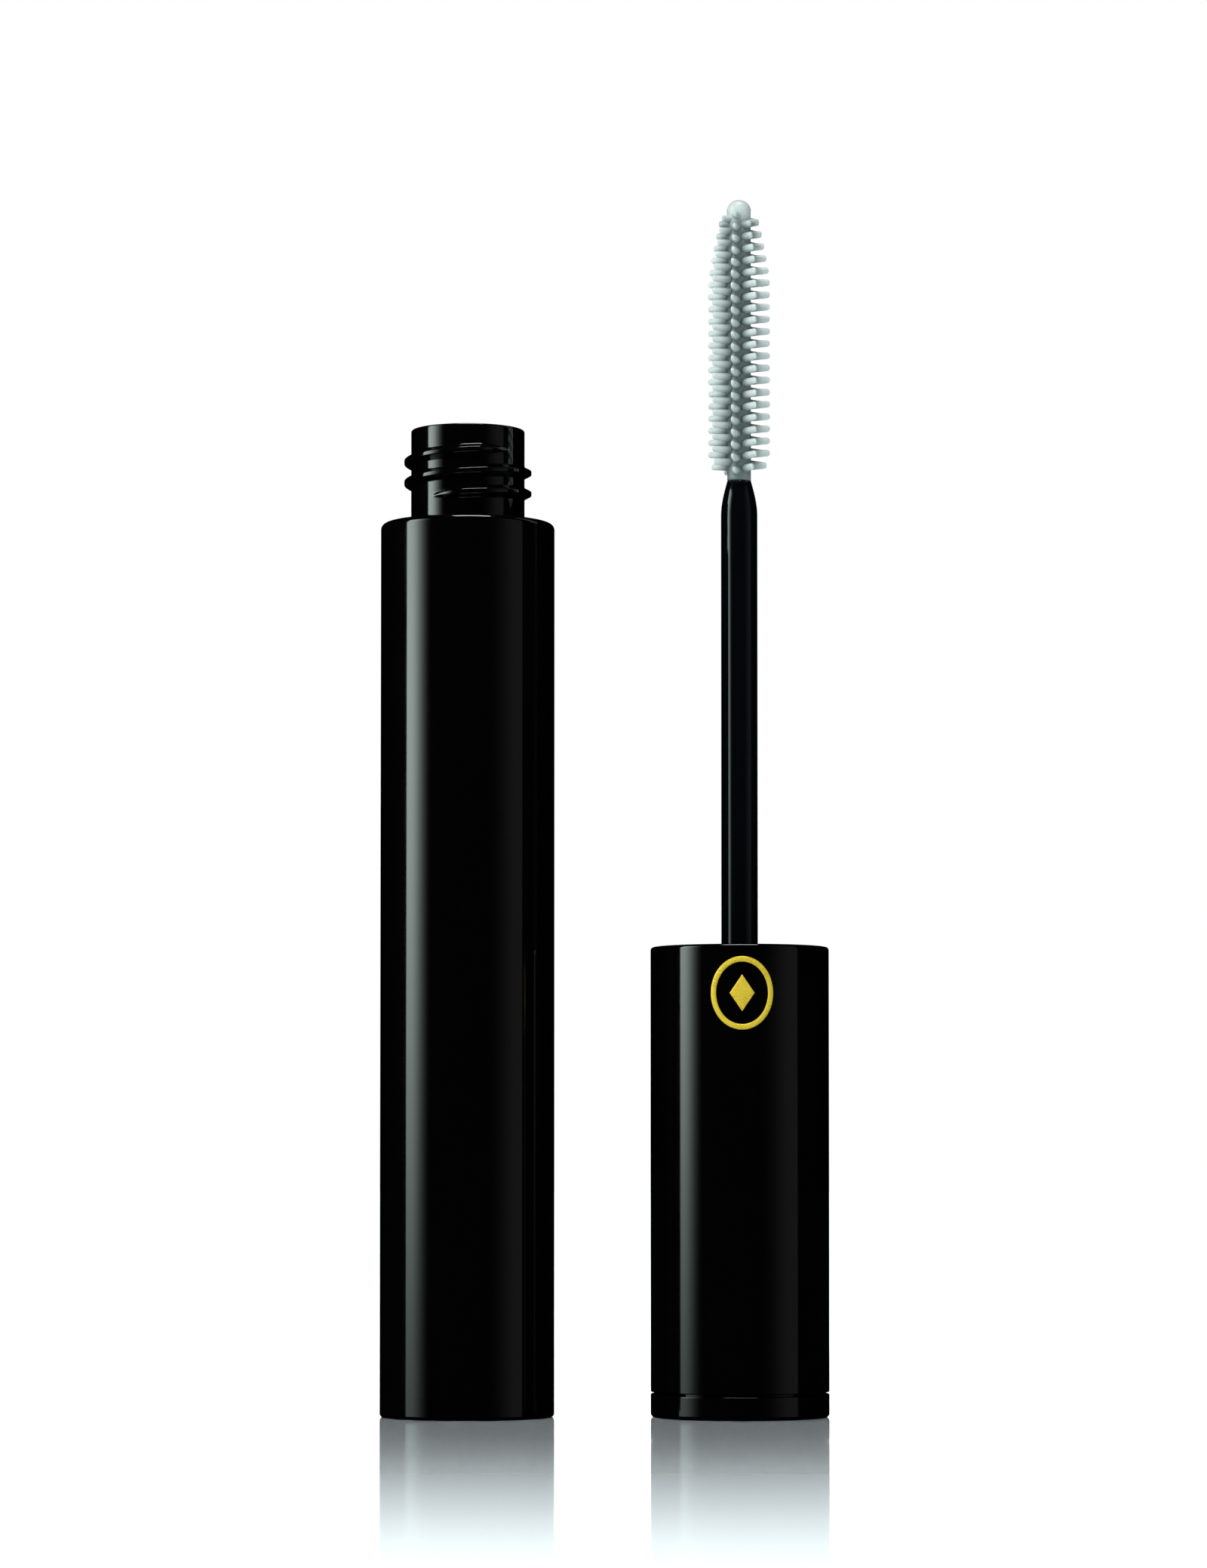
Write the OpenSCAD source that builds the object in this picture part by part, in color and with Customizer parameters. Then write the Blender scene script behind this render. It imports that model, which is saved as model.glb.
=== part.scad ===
// Vibrating mascara: an open bottle with its applicator standing upside down beside it.
// Origin: centre of the bottle's base, +Z up, front towards -Y. All lengths in millimetres.

/* [Bottle] */
// Outer diameter of the bottle
bottle_d = 17.6; // [16:0.1:20]
// Height of the bottle up to its shoulder
shoulder_h = 90.2; // [80:0.1:110]
// Radius of the rounded shoulder edge
shoulder_round = 0.6; // [0.3:0.1:1]
// Radius of the rounded base edge
base_round = 0.35; // [0.2:0.05:0.8]
// Diameter of the cavity that holds the mascara
cavity_d = 11.4; // [10:0.1:13]
// Thickness of the bottle's base
base_wall = 3; // [2:0.1:5]

/* [Neck finish, 13-415 style] */
// Outer diameter of the plain neck
neck_d = 11.5; // [11.3:0.05:11.6]
// Outer diameter over the thread
thread_d = 12.9; // [12.8:0.05:13.1]
// Height of the neck above the shoulder
neck_h = 9.5; // [9:0.1:11.5]
// Diameter of the bore through the neck
neck_bore_d = 8.6; // [8:0.1:9]
// Rise of the thread in one turn
thread_pitch = 2.117; // [2:0.001:2.3]
// Height above the shoulder at which the neck's thread starts
thread_start_h = 2.32; // [2:0.01:2.6]
// Turn of the thread's start about the neck, from +X
thread_start_deg = 230; // [0:5:355]
// Turns of thread on the neck
thread_turns = 2.24; // [2:0.01:2.4]

/* [Cap] */
// Distance from the bottle's axis to the applicator's axis
axis_gap = 27.5; // [22:0.1:40]
// Outer diameter of the cap
cap_d = 18; // [17:0.1:20]
// Wall of the cap's outer shell
cap_wall = 1.2; // [1:0.05:1.4]
// Height of the cap, from its closed end to its open lip
cap_h = 47.3; // [46:0.1:50]
// Height of the button that closes the cap's end
button_h = 2.35; // [2:0.05:2.5]
// Seam between the button and the cap
seam = 0.2; // [0.15:0.01:0.3]
// Radius of the button's rounded outer edge
button_round = 0.38; // [0.2:0.01:0.6]

/* [Badge] */
// Width of the gold badge
badge_w = 6.2; // [4:0.1:7]
// Height of the gold badge
badge_h = 7.3; // [5:0.1:8]
// Distance from the cap's lip to the badge's centre
badge_drop = 4.9; // [4.5:0.1:8]
// Thickness of the badge
badge_t = 0.12; // [0.08:0.01:0.2]
// Width of the badge's oval band
badge_band = 0.55; // [0.3:0.05:0.9]

/* [Wand] */
// Diameter of the stem
stem_d = 3.7; // [3.4:0.1:4]
// Height at which the stem's nose starts to narrow
stem_top = 91; // [80:0.1:95]
// Height at which the brush starts
brush_base = 94.6; // [92:0.1:98]
// Height of the brush's tip
brush_tip = 123.3; // [120:0.1:126]
// Full diameter of the brush
brush_d = 6.6; // [6:0.1:7.4]
// Diameter of the brush's core
core_d = 2.4; // [2:0.1:2.8]
// Spacing of the teeth in one column
tooth_pitch = 1.24; // [1.1:0.01:1.5]
// Height of a tooth at its tip
tooth_t = 0.6; // [0.4:0.05:0.7]
// Columns of teeth round the core
columns = 8; // [8:4:12]

/* [Drive] */
// Diameter of a button cell
cell_d = 11.6; // [11:0.1:11.6]
// Height of a button cell
cell_h = 5.4; // [5:0.1:5.4]
// Diameter of the vibration motor
motor_d = 6; // [5.5:0.1:6]
// Length of the motor's can
motor_l = 7.2; // [6:0.1:7.2]
// Diameter of the motor's shaft
shaft_d = 0.8; // [0.6:0.1:1]
// Radius of the eccentric weight
weight_r = 2.7; // [2:0.1:3]

/* [Hidden] */
$fn = 96;
eps = 0.01;          // overshoot of a cut past the face it opens

// Radii
bottle_r = bottle_d / 2;
neck_r = neck_d / 2;
neck_bore_r = neck_bore_d / 2;
cavity_r = cavity_d / 2;
cap_r = cap_d / 2;
shell_r = cap_r - cap_wall;        // inside of the cap's shell
stem_r = stem_d / 2;
core_r = core_d / 2;
brush_r = brush_d / 2;
cell_r = cell_d / 2;
motor_r = motor_d / 2;
shaft_r = shaft_d / 2;

// Bottle
rim = shoulder_h + neck_h;
cavity_top = shoulder_h - 2.2;     // where the cavity narrows to the neck's bore
neck_fillet = 0.45;
rim_round = 0.25;
flange_r = 5.1;                    // the wiper's flange, let into the rim
flange_t = 0.7;
wiper_wall = 0.6;
wiper_edge = 0.4;                  // thickness of the wiping edge
cone_wall = 1;
wiper_drop = 10.8;                 // from the rim to the wiper's lower end
wiper_hole_r = 1.95;               // strips the stem, whose radius is 0.1 less
cone_top = 5.5;                    // from the rim to the top of the wiper's cone
cone_end = 9.6;                    // from the rim to the wiping edge

// Fits
press = 0.05;                      // gap drawn at a press fit, each side
slip = 0.2;                        // gap between pieces that move past each other

// Cap, from its closed end upward
shell_base = button_h + seam;
edge_round = 0.12;                 // the two edges beside the seam
lip_round = 0.3;
lip_chamfer = 0.2;
rebate_h = 0.6;                    // the shell's lower edge laps over the button's step
rebate_r = shell_r + 0.7;
rib_top = shell_base + 1.3;        // inner rib that retains the button
rib_r = shell_r - 0.8;
step_r = rebate_r - slip;
step_top = button_h + rebate_h;
skirt_r = rib_r - slip;            // the button's skirt inside that rib
skirt_wall = 0.8;
catch_base = rib_top + slip;       // snap catch on the skirt
catch_t = 0.2;
catch_r = shell_r - 0.45;
skirt_top = catch_base + 0.65;
pocket_base = button_h / 2;        // inside the button's skirt
board_base = skirt_top + 0.5;
board_t = 0.8;
board_r = shell_r - 0.3;
dome_h = 0.65;
dome_r = 3;
dome_t = 0.12;
plunger_top = board_base - dome_h - press;
plunger_r = 1.2;
spring_base = board_base + board_t;
spring_h = 1.9;
cells_base = spring_base + spring_h;
plate_base = cells_base + 2 * cell_h;
plate_t = 0.3;
partition_base = plate_base + plate_t + press;
partition_t = 1.2;
chamber_base = partition_base + partition_t;
cell_bay_r = cell_r + 0.1;
chamber_r = 6.2;
chassis_r = shell_r - 0.1;
chassis_top = 34.2;
floor_base = 35.3;                 // underside of the inner cap's floor
seal_t = 1;
floor_top = cap_h - neck_h - seal_t;  // the seal lies on it
inner_top = cap_h - 0.4;
socket_top = inner_top - 0.7;      // end of the socket's threaded wall
relief_r = thread_d / 2 + 0.6;     // wider mouth above it
thread_root_r = thread_d / 2 + 0.3;
thread_crest_r = neck_r + 0.25;
socket_turns = 1.6;
turns_to_start = 1.8;              // from where the two threads' turns match, downward
seal_r = 6.4;
seal_bore_r = 4.9;

// Wand and motor
hub_base = 26.4;
hub_r = 3.7;
hub_top = 38.4;
hub_neck_base = 34.3;
hub_neck_r = 2.55;
hub_lap = 0.2;                     // roof of the hub, over the motor
spigot_r = 1.6;                    // stem's spigot in the hub
spigot_base = 35.3;
grommet_bore_r = hub_neck_r + press;
grommet_r = 4;
grommet_flange_r = 4.7;
grommet_flange_t = 0.55;
can_base = 26;
can_top = can_base + motor_l;
boss_r = 1.2;
boss_l = 0.6;
end_cap_t = 0.9;
weight_base = 21.2;
weight_l = 3.8;
shaft_base = weight_base - 0.2;
shaft_top = can_top - 1.2;
lead_r = 0.3;
lead_x = 5.2;                      // leads beside the motor
slot_x = 6.75;                     // black lead beside the cells
slot_w = 1.1;
nose_r = 1.2;                      // end of the stem's nose
nose_steps = 8;
pin_r = 0.8;                       // brush's pin in the stem
pin_base = 87;
pin_hole_base = 86.6;

// Points on an arc about c, from angle a0 to a1 in n steps
function arc(c, r, a0, a1, n = 6) =
    [for (i = [0:n]) let (a = a0 + (a1 - a0) * i / n) [c[0] + r * cos(a), c[1] + r * sin(a)]];

// Solid of revolution about Z from a closed outline of [radius, height] points
module turned(outline) rotate_extrude() polygon(outline);

// Tube about Z between two radii and two heights
module ring(r_in, r_out, z0, z1) difference() {
    translate([0, 0, z0]) cylinder(r = r_out, h = z1 - z0);
    translate([0, 0, z0 - eps]) cylinder(r = r_in, h = z1 - z0 + 2 * eps);
}

module rod(r, z0, z1) translate([0, 0, z0]) cylinder(r = r, h = z1 - z0);

module on_applicator() translate([axis_gap, 0, 0]) children();

// Skin of a swept section: rings of n points each, closed by two end faces
module swept(rings) {
    n = len(rings[0]);
    last = len(rings) - 1;
    polyhedron(
        points = [for (r = rings) each r],
        faces = concat(
            [[for (k = [n - 1:-1:0]) k]],
            [for (i = [0:last - 1], k = [0:n - 1]) let (m = (k + 1) % n)
                each [[i * n + k, i * n + m, (i + 1) * n + k],
                      [i * n + m, (i + 1) * n + m, (i + 1) * n + k]]],
            [[for (k = [0:n - 1]) last * n + k]]));
}

// Ridge of a right-hand thread. wall_r is the wall it stands on, crest_r its crest. It starts
// at height z0 and turns from a0, and its ends fade into the wall over lead_in degrees.
ridge_base = 1.5;                  // width of its section where it is sunk in the wall
ridge_tip = 0.45;                  // width of its crest
ridge_root = 0.3;                  // depth of the section inside the wall
lead_in = 35;
ridge_step = 15;
module ridge(wall_r, crest_r, z0, a0, turns) {
    side = sign(crest_r - wall_r);
    root = wall_r - side * ridge_root;
    span = 360 * turns;
    n = ceil(span / ridge_step);
    fade = function (a) min(1, min(a, span - a) / lead_in);
    swept([for (i = [0:n])
        let (a = span * i / n, z = z0 + thread_pitch * a / 360,
             crest = wall_r + side * (abs(crest_r - wall_r) * fade(a) - ridge_root / 3 * (1 - fade(a))),
             w = side * ridge_base / 2, t = side * ridge_tip / 2)
        [for (p = [[root, -w], [crest, -t], [crest, t], [root, w]])
            [p[0] * cos(a0 + a), p[0] * sin(a0 + a), z + p[1]]]]);
}

// Wire of round section along a list of points
function unit(v) = v / norm(v);
module wire(path, r, sides = 8) {
    last = len(path) - 1;
    ref = [0, 1, eps];             // close to the axis that no wire follows
    swept([for (i = [0:last])
        let (t = unit(path[min(i + 1, last)] - path[max(i - 1, 0)]),
             u = unit(cross(ref, t)), v = cross(t, u))
        [for (k = [0:sides - 1]) let (a = -360 * k / sides) path[i] + r * (u * cos(a) + v * sin(a))]]);
}

// Route of three corners rounded off by short chamfers
function eased(corners, cut) = [
    for (i = [0:len(corners) - 1])
        let (p = corners[i])
        if (i == 0 || i == len(corners) - 1) p
        else each [p + cut * unit(corners[i - 1] - p), p + cut * unit(corners[i + 1] - p)]];

// Bottle: one moulding with its neck and thread
module bottle() color([0.02, 0.02, 0.02]) difference() {
    union() {
        turned(concat(
            [[0, 0]],
            arc([bottle_r - base_round, base_round], base_round, -90, 0),
            arc([bottle_r - shoulder_round, shoulder_h - shoulder_round], shoulder_round, 0, 90),
            arc([neck_r + neck_fillet, shoulder_h + neck_fillet], neck_fillet, 270, 180),
            arc([neck_r - rim_round, rim - rim_round], rim_round, 0, 90),
            [[0, rim]]));
        ridge(neck_r, thread_d / 2, shoulder_h + thread_start_h, thread_start_deg, thread_turns);
    }
    rod(cavity_r, base_wall, cavity_top);
    translate([0, 0, cavity_top - eps])
        cylinder(r1 = cavity_r, r2 = neck_bore_r, h = cavity_r - neck_bore_r + eps);
    rod(neck_bore_r, cavity_top, rim + eps);
    rod(flange_r, rim - flange_t, rim + eps);
}

// Wiper: soft plug in the neck that strips the wand
module wiper() color([0.9, 0.9, 0.88]) let (
    r = neck_bore_r - press, bore = r - wiper_wall, mouth = bore + wiper_wall / 2,
    edge = rim - cone_end - wiper_edge)
    turned([[r, rim - wiper_drop], [r, rim - flange_t], [flange_r - press, rim - flange_t],
            [flange_r - press, rim], [mouth, rim], [bore, rim - flange_t],
            [bore, rim - cone_top], [wiper_hole_r, rim - cone_end],
            [wiper_hole_r, edge], [wiper_hole_r + wiper_edge, edge],
            [bore, rim - cone_top - cone_wall], [bore, rim - wiper_drop]]);

// Seal: washer at the bottom of the cap's socket, free to turn in it
module cap_seal() color([0.85, 0.85, 0.82]) on_applicator()
    ring(seal_bore_r, seal_r, floor_top + press, floor_top + seal_t - press);

// Outer shell of the cap, with the rib that retains the button
module cap_shell() color([0.02, 0.02, 0.02]) on_applicator() turned(concat(
    arc([cap_r - edge_round, shell_base + edge_round], edge_round, -90, 0, 3),
    arc([cap_r - lip_round, cap_h - lip_round], lip_round, 0, 90, 4),
    [[shell_r + lip_chamfer, cap_h], [shell_r, cap_h - lip_chamfer],
     [shell_r, rib_top], [rib_r, rib_top], [rib_r, shell_base + rebate_h],
     [rebate_r, shell_base + rebate_h], [rebate_r, shell_base]]));

// Inner cap: threaded socket for the bottle's neck, with a floor that holds the grommet. Its
// ridge lies midway between the turns on the neck when the cap is closed.
module inner_cap() color([0.03, 0.03, 0.03]) on_applicator() {
    difference() {
        rod(shell_r - press, floor_base, inner_top);
        rod(thread_root_r, floor_top, socket_top + eps);
        rod(relief_r, socket_top, inner_top + eps);
        rod(grommet_r + press, floor_base - eps, floor_top + eps);
    }
    ridge(thread_root_r, thread_crest_r,
          cap_h - thread_start_h - thread_pitch * (turns_to_start + 1 / 2),
          180 - thread_start_deg - 360 * turns_to_start, socket_turns);
}

// Gold badge: an upright oval band round a plain lozenge, laid on the cap's front
module badge() color([0.85, 0.7, 0.25]) on_applicator() intersection() {
    ring(cap_r, cap_r + badge_t, cap_h - 2 * badge_h, cap_h - eps);
    translate([0, 0, cap_h - badge_drop]) rotate([90, 0, 0]) linear_extrude(cap_d) {
        difference() {
            oval(badge_w, badge_h);
            oval(badge_w - 2 * badge_band, badge_h - 2 * badge_band);
        }
        polygon([[badge_w / 5, 0], [0, badge_h / 4], [-badge_w / 5, 0], [0, -badge_h / 4]]);
    }
}
oval_points = 48;
module oval(w, h)
    polygon([for (i = [0:oval_points - 1]) let (a = 360 * i / oval_points)
        [w / 2 * cos(a), h / 2 * sin(a)]]);

// Half of the chassis: cell holder below, motor chamber above, a lead slot at its left side
module chassis_half() difference() {
    rotate_extrude(angle = 180) polygon([
        [cell_bay_r, spring_base + press], [chassis_r, spring_base + press],
        [chassis_r, chassis_top], [chamber_r, chassis_top], [chamber_r, chamber_base],
        [0, chamber_base], [0, partition_base], [cell_bay_r, partition_base]]);
    translate([-slot_x - slot_w, -slot_w / 2, spring_base])
        cube([slot_x + slot_w - lead_x + slot_w / 2, slot_w, chamber_base - spring_base + eps]);
    translate([lead_x, 0, 0]) rod(slot_w / 2, partition_base - eps, chamber_base + eps);
}
module chassis_back() color([0.3, 0.3, 0.32]) on_applicator() chassis_half();
module chassis_front() color([0.34, 0.34, 0.36]) on_applicator() mirror([0, 1, 0]) chassis_half();

// Button cell: steel can with its smaller negative face below
cell_lid_r = cell_r - 0.8;
cell_lid_t = 0.4;
cell_round = 0.2;
module cell(z0) turned([[0, z0], [cell_lid_r, z0], [cell_lid_r, z0 + cell_lid_t],
    [cell_r - cell_round, z0 + cell_lid_t], [cell_r, z0 + cell_lid_t + cell_round],
    [cell_r, z0 + cell_h - cell_round], [cell_r - cell_round, z0 + cell_h], [0, z0 + cell_h]]);
module cell_lower() color([0.75, 0.75, 0.77]) on_applicator() cell(cells_base);
module cell_upper() color([0.75, 0.75, 0.77]) on_applicator() cell(cells_base + cell_h);

// Spring that presses the cells up from the switch board
spring_wire_r = 0.18;
spring_turns = 2.5;
spring_wide_r = 4;
spring_narrow_r = 2.2;
spring_steps = 50;
module contact_spring() color([0.8, 0.78, 0.7]) on_applicator() let (
    low = spring_base + spring_wire_r + press, high = cells_base - spring_wire_r - press)
    wire([for (i = [0:spring_steps]) let (s = i / spring_steps, a = 360 * spring_turns * s,
        r = spring_wide_r + (spring_narrow_r - spring_wide_r) * s)
        [r * cos(a), r * sin(a), low + (high - low) * s]], spring_wire_r);

// Positive contact above the cells
module contact_plate() color([0.85, 0.7, 0.4]) on_applicator()
    rod(cell_r - press, plate_base, plate_base + plate_t);

// Round board that carries the switch
module switch_board() color([0.1, 0.4, 0.2]) on_applicator()
    rod(board_r, board_base, board_base + board_t);

// Snap dome under the board, pressed by the button
module snap_dome() color([0.8, 0.8, 0.82]) on_applicator() let (
    rise = dome_h - dome_t,
    sphere_r = (dome_r * dome_r + rise * rise) / (2 * rise),
    half = asin(dome_r / sphere_r), c = [0, board_base - dome_h + sphere_r])
    turned(concat(
        arc(c, sphere_r, -90, -90 + half, 10),
        arc(c, sphere_r - dome_t, -90 + half, -90, 10)));

// Grommet: soft mount that lets the wand sway in the inner cap's floor
module grommet() color([0.15, 0.15, 0.16]) on_applicator() let (
    foot = floor_base - grommet_flange_t, head = floor_top + grommet_flange_t)
    turned([[grommet_bore_r, foot], [grommet_flange_r, foot], [grommet_flange_r, floor_base],
            [grommet_r, floor_base], [grommet_r, floor_top], [grommet_flange_r, floor_top],
            [grommet_flange_r, head], [grommet_bore_r, head]]);

// Leads from the motor's end cap, out through the hub's slots. The red one ends on the positive
// contact. The black one jogs outward above the partition and runs down past the cells.
lead_top = can_top + end_cap_t / 2;
lead_inner = motor_r + 0.1;
lead_bend = 0.6;
jog_top = chamber_base + 0.4;
jog_end = chamber_base - 0.8;
module lead_red() color([0.7, 0.05, 0.05]) on_applicator()
    wire(eased([[lead_inner, 0, lead_top], [lead_x, 0, lead_top],
                [lead_x, 0, plate_base + plate_t]], lead_bend), lead_r);
module lead_black() color([0.05, 0.05, 0.05]) on_applicator()
    wire(eased([[-lead_inner, 0, lead_top], [-lead_x, 0, lead_top], [-lead_x, 0, jog_top],
                [-slot_x, 0, jog_end], [-slot_x, 0, spring_base]], lead_bend), lead_r);

// End button: the cap's closed end. Its step closes the seam from inside, its skirt snaps
// behind the shell's rib, and its plunger meets the snap dome.
module end_button() color([0.03, 0.03, 0.03]) on_applicator()
    turned(concat(
        [[0, 0]],
        arc([cap_r - button_round, button_round], button_round, -90, 0),
        arc([cap_r - edge_round, button_h - edge_round], edge_round, 0, 90, 3),
        [[step_r, button_h], [step_r, step_top], [skirt_r, step_top],
         [skirt_r, catch_base], [catch_r, catch_base], [catch_r, catch_base + catch_t],
         [skirt_r, skirt_top], [skirt_r - skirt_wall, skirt_top],
         [skirt_r - skirt_wall, pocket_base], [plunger_r, pocket_base],
         [plunger_r, plunger_top], [0, plunger_top]]));

// Hub: carries the motor below the grommet and the stem above it, with a slot for the leads
module wand_hub() color([0.12, 0.12, 0.13]) on_applicator() difference() {
    union() {
        rod(hub_r, hub_base, hub_neck_base + hub_lap);
        rod(hub_neck_r, hub_neck_base, hub_top);
    }
    rod(motor_r + press, hub_base - eps, hub_neck_base);
    rod(spigot_r + press, spigot_base - press, hub_top + eps);
    translate([-hub_r - eps, -slot_w / 2, can_top - hub_lap])
        cube([2 * (hub_r + eps), slot_w, hub_neck_base + hub_lap - can_top]);
}

// Stem: rod with a spigot in the hub and a rounded nose under the brush
module stem() color([0.02, 0.02, 0.02]) on_applicator() difference() {
    turned(concat(
        [[0, spigot_base], [spigot_r, spigot_base], [spigot_r, hub_top], [stem_r, hub_top],
         [stem_r, stem_top]],
        [for (i = [1:nose_steps]) let (s = i / nose_steps)
            [nose_r + (stem_r - nose_r) * cos(90 * s), stem_top + (brush_base - stem_top) * s]],
        [[0, brush_base]]));
    rod(pin_r + press, pin_hole_base, brush_base + eps);
}

// Brush: one moulding. Its teeth stand in columns round a core, each column a quarter of a
// pitch higher than the one before it, so they follow helical ridges.
taper_low = 2.2;                   // length over which the brush swells from the stem
taper_high = 8;                    // length of its taper to the tip
taper_power = 0.7;
tip_r = 1.25;
tip_deg = 11.5;                    // where the rounded tip leaves the core
column_rise = tooth_pitch / 4;
starts = columns * column_rise / tooth_pitch;
first_deg = -104;                  // the column nearest to the front
first_tooth = brush_base + 0.9;
last_tooth = brush_tip - 1.6;
tooth_root_r = core_r - 0.2;       // hidden in the core
tooth_root_t = 0.8;                // height of a tooth at its root
function envelope(z) =
    z < brush_base + taper_low
        ? core_r + (brush_r - core_r) * sqrt((z - brush_base) / taper_low)
        : z > brush_tip - taper_high
            ? tip_r + (brush_r - tip_r) * pow((brush_tip - z) / taper_high, taper_power)
            : brush_r;
module tooth_ridge() let (n = floor((last_tooth - first_tooth) / column_rise))
    swept([for (i = [-1:2 * n + 1])
        let (z = first_tooth + column_rise * i / 2, a = 180 / columns * i,
             r = i % 2 == 0 ? envelope(z) : core_r - press, w = tooth_root_t / 2, t = tooth_t / 2)
        [for (p = [[tooth_root_r, -w], [r, -t], [r, t], [tooth_root_r, w]])
            [p[0] * cos(a), p[0] * sin(a), z + p[1]]]]);
module brush() color([0.78, 0.8, 0.79]) on_applicator() {
    turned(concat(
        [[0, pin_base], [pin_r, pin_base], [pin_r, brush_base + press], [core_r, brush_base + press]],
        arc([0, brush_tip - tip_r], tip_r, tip_deg, 90, 8)));
    for (k = [0:starts - 1]) rotate(first_deg + 360 / starts * k) tooth_ridge();
}

// Vibration motor: can with a bearing boss, and its plastic end cap
module motor_can() color([0.78, 0.78, 0.8]) on_applicator() difference() {
    union() {
        rod(motor_r, can_base, can_top);
        rod(boss_r, can_base - boss_l, can_base + press);
    }
    rod(shaft_r + press, can_base - boss_l - eps, shaft_top + press);
}
module motor_end_cap() color([0.9, 0.9, 0.88]) on_applicator()
    rod(motor_r - press, can_top, can_top + end_cap_t);
module motor_shaft() color([0.7, 0.7, 0.72]) on_applicator() rod(shaft_r, shaft_base, shaft_top);

// Eccentric weight pressed on the shaft
module eccentric_weight() color([0.55, 0.55, 0.52]) on_applicator() difference() {
    union() {
        translate([0, 0, weight_base]) rotate(90) rotate_extrude(angle = 180)
            square([weight_r, weight_l]);
        rod(boss_r, weight_base, weight_base + weight_l);
    }
    rod(shaft_r, weight_base - eps, weight_base + weight_l + eps);
}

bottle();
wiper();
cap_seal();
cap_shell();
inner_cap();
badge();
chassis_front();
chassis_back();
cell_lower();
cell_upper();
contact_spring();
contact_plate();
switch_board();
snap_dome();
grommet();
lead_red();
lead_black();
end_button();
wand_hub();
stem();
brush();
motor_can();
motor_end_cap();
motor_shaft();
eccentric_weight();
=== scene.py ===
"""Vibrating mascara: an open bottle, and its applicator standing upside down beside it."""
import math

import bmesh
import bpy
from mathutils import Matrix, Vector


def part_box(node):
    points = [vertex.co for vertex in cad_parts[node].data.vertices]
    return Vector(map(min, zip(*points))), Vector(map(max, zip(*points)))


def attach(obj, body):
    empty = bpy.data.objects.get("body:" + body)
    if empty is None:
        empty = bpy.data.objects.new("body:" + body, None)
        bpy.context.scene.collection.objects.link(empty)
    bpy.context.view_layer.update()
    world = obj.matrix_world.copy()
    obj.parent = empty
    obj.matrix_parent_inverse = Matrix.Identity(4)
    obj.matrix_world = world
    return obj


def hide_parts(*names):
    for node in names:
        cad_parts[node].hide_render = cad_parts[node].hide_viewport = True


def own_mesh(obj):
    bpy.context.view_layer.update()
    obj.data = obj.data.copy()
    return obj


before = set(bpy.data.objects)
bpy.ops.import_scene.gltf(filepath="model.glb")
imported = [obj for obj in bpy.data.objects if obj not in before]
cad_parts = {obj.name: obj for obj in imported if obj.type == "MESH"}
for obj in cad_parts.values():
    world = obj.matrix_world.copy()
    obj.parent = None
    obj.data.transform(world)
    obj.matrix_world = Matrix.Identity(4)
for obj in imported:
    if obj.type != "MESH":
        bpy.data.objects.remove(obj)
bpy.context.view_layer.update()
MM = 0.001

# ---------------------------------------------------------------- sizes, read from the frame


def low(node):
    """Lowest corner of a CAD node, in millimetres."""
    return Vector(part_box(node)[0]) / MM


def high(node):
    """Highest corner of a CAD node, in millimetres."""
    return Vector(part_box(node)[1]) / MM


def radius(node):
    """Outer radius of a round upright CAD node, in millimetres."""
    return (high(node).y - low(node).y) / 2


cap_x = (low("end_button").x + high("end_button").x) / 2
bottle_r = radius("bottle")
rim = high("bottle").z
neck_h = 9.5
shoulder = rim - neck_h
neck_r = 5.75
neck_bore_r = 4.3
flange_r, flange_t = 5.1, 0.7       # recess in the rim for the wiper's flange
thread_r = 6.45
pitch = 2.117
thread_start = 2.32                 # from the shoulder, or from the cap's lip
thread_deg = 230
cap_r = radius("end_button")
lip = high("cap_shell").z
seam_low = 2.35
seam_high = low("cap_shell").z
shell_r = cap_r - 1.2
rib_r = 7.0                         # rib in the shell that holds the button
rib_h = 1.3
rebate_r = shell_r + 0.7
rebate_h = 0.6
grommet_r = 4.05                    # hole in the inner cap's floor
hub_top = 38.4
nose_base = 91.0                    # where the stem narrows to its nose
nose_r = 1.2
pin_hole = 86.6
core_r = 1.2
stem_r = radius("stem")
brush_base = high("stem").z
brush_tip = high("brush").z
brush_r = radius("brush")
socket_floor = lip - neck_h - 1

# ---------------------------------------------------------------- outlines and turned shapes


def rounded(corners, steps=5, guard=0.04):
    """Outline points from (radius, height, fillet) corners. A guard point beside each
    fillet keeps the shading of the flats beside it even."""
    points = []
    for i, (r, z, fillet) in enumerate(corners):
        here = Vector((r, z))
        ends = i in (0, len(corners) - 1)
        if fillet == 0 or ends:
            points.append((r, z))
            continue
        back = Vector(corners[i - 1][:2]) - here
        ahead = Vector(corners[i + 1][:2]) - here
        half = back.angle(ahead) / 2
        reach = min(fillet / math.tan(half), back.length * 0.45, ahead.length * 0.45)
        size = reach * math.tan(half)
        start = here + back.normalized() * reach
        stop = here + ahead.normalized() * reach
        centre = here + (back.normalized() + ahead.normalized()).normalized() * size / math.sin(half)
        a0 = math.atan2(*(start - centre).yx)
        turn = math.atan2(*(stop - centre).yx) - a0
        turn = (turn + math.pi) % (2 * math.pi) - math.pi
        if back.length * 0.5 > reach + guard:
            points.append(tuple(start + back.normalized() * guard))
        for k in range(steps + 1):
            a = a0 + turn * k / steps
            points.append((centre.x + size * math.cos(a), centre.y + size * math.sin(a)))
        if ahead.length * 0.5 > reach + guard:
            points.append(tuple(stop + ahead.normalized() * guard))
    return points


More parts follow.
